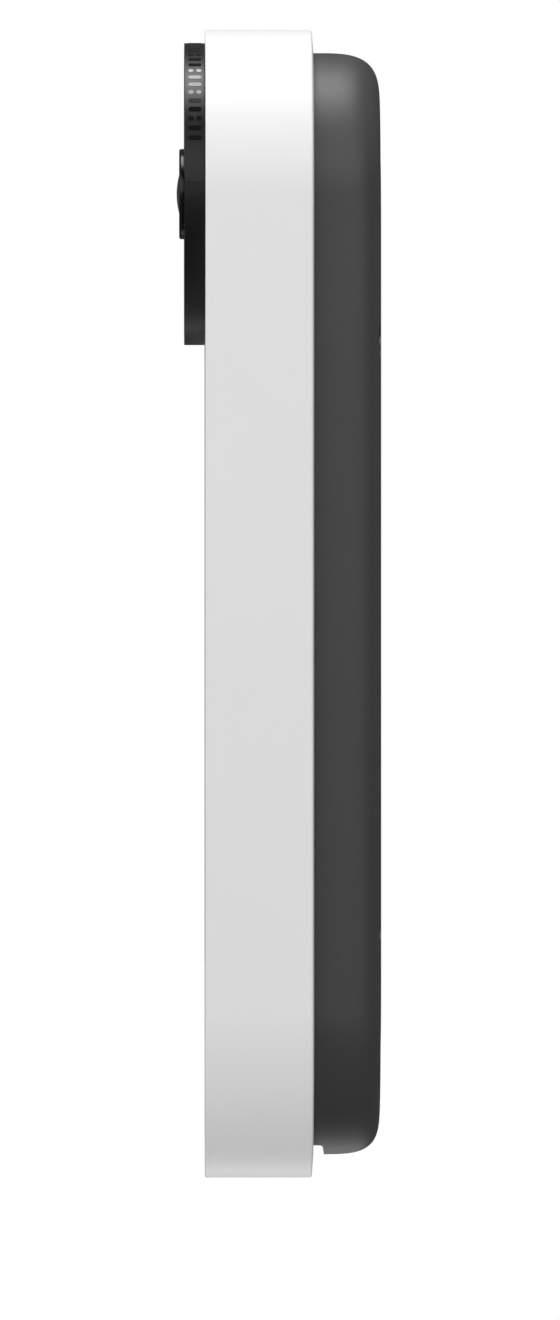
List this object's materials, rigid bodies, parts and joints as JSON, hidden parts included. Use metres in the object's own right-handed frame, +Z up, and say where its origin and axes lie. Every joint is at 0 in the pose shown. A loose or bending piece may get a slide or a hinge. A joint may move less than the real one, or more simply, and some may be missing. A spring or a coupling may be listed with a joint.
{
  "type": "video doorbell",
  "caption": "Slim pill-shaped battery video doorbell with a round camera disc, a press button and a tilt-off wall bracket.",
  "frame": {"origin": "centre of the bracket's flat wall face, midway between the two round ends of the case", "axes": "+X to the right of someone facing the wall, +Y into the wall, +Z up; the camera faces -Y"},
  "size_m": [0.0458, 0.0284, 0.16],
  "materials": {
    "white_plastic": "satin moulded plastic",
    "dark_plastic": "fine matt moulded plastic",
    "gloss_black": "polished",
    "black_plastic": "satin",
    "lens_glass": "coated and polished",
    "optical_glass": "coated and polished",
    "filter_glass": "dichroic coating",
    "silicone": "matt",
    "diffuser": "translucent milky plastic",
    "circuit_board": "solder resist",
    "flex_circuit": "polyimide film",
    "steel": "zinc plated",
    "tinned_steel": "bright tinned sheet",
    "aluminium": "satin",
    "brass": "machined",
    "copper": "enamelled wire",
    "battery_wrap": "laminated pouch film",
    "foam": "open-cell foam"
  },
  "bodies": {
    "wall_bracket": {"wall_plate": "aluminium", "wall_screw_upper": "steel", "wall_screw_lower": "steel", "latch_spring": "steel", "latch_rivet": "brass"},
    "doorbell": {"front_shell": "white_plastic", "rear_shell": "dark_plastic", "seal_gasket": "silicone", "case_screw_upper_left": "steel", "case_screw_upper_right": "steel", "case_screw_lower_left": "steel", "case_screw_lower_right": "steel", "camera_housing": "black_plastic", "camera_window": "gloss_black", "lens_bezel": "gloss_black", "lens_dome": "lens_glass", "lens_barrel": "black_plastic", "lens_inner_element": "optical_glass", "lens_holder": "black_plastic", "ir_cut_frame": "black_plastic", "ir_cut_coil": "copper", "image_sensor": "lens_glass", "camera_board": "circuit_board", "heat_spreader": "aluminium", "ir_led_board": "circuit_board", "ir_led_upper_left": "diffuser", "ir_led_upper_right": "diffuser", "ir_led_lower_left": "diffuser", "ir_led_lower_right": "diffuser", "motion_sensor_lens": "silicone", "motion_sensor": "tinned_steel", "button_light_ring": "diffuser", "button_membrane": "silicone", "tact_switch_body": "black_plastic", "button_board": "circuit_board", "main_board": "circuit_board", "shield_can": "tinned_steel", "wifi_antenna": "flex_circuit", "camera_flex": "flex_circuit", "button_flex": "flex_circuit", "speaker": "black_plastic", "speaker_gasket": "foam", "microphone_boot": "silicone", "microphone": "tinned_steel", "battery": "battery_wrap", "battery_tray": "black_plastic", "terminal_block": "black_plastic", "terminal_screw_left": "brass", "terminal_screw_right": "brass", "port_board": "circuit_board", "usb_port": "tinned_steel", "reset_switch": "tinned_steel"},
    "button": {"button_cap": "white_plastic"},
    "button_switch": {"tact_switch_stem": "white_plastic"},
    "ir_filter": {"ir_cut_filter": "filter_glass"},
    "reset_key": {"reset_button": "black_plastic"},
    "port_flap": {"usb_flap": "silicone"},
    "release_catch": {"release_lever": "steel"}
  },
  "joints": [
    {"name": "bracket_swing", "type": "hinge", "parent": "wall_bracket", "child": "doorbell", "pos_m": [0, -0.0018, 0.071], "axis": [-1, 0, 0], "range_deg": [0, 12], "deforming": ["latch_spring"]},
    {"name": "button_press", "type": "slide", "parent": "doorbell", "child": "button", "axis": [0, 1, 0], "range_m": [0, 0.00045], "stiffness_N_per_m": 900, "springref_m": -0.0002, "deforming": ["button_membrane"]},
    {"name": "switch_press", "type": "slide", "parent": "doorbell", "child": "button_switch", "axis": [0, 1, 0], "range_m": [0, 0.00045]},
    {"name": "ir_filter_slide", "type": "slide", "parent": "doorbell", "child": "ir_filter", "axis": [1, 0, 0], "range_m": [0, 0.0056]},
    {"name": "reset_press", "type": "slide", "parent": "doorbell", "child": "reset_key", "axis": [0, -1, 0], "range_m": [0, 0.00025], "stiffness_N_per_m": 600, "springref_m": -0.0002},
    {"name": "flap_swing", "type": "hinge", "parent": "doorbell", "child": "port_flap", "pos_m": [-0.01965, -0.0065, -0.0453], "axis": [0, -1, 0], "range_deg": [0, 110], "stiffness_Nm_per_rad": 0.0003, "springref_deg": -11.46},
    {"name": "release_push", "type": "slide", "parent": "doorbell", "child": "release_catch", "axis": [0, 0, 1], "range_m": [0, 0.0018]}
  ],
  "couplings": [
    {"joint": "switch_press", "follows": "button_press", "ratio": 1}
  ]
}
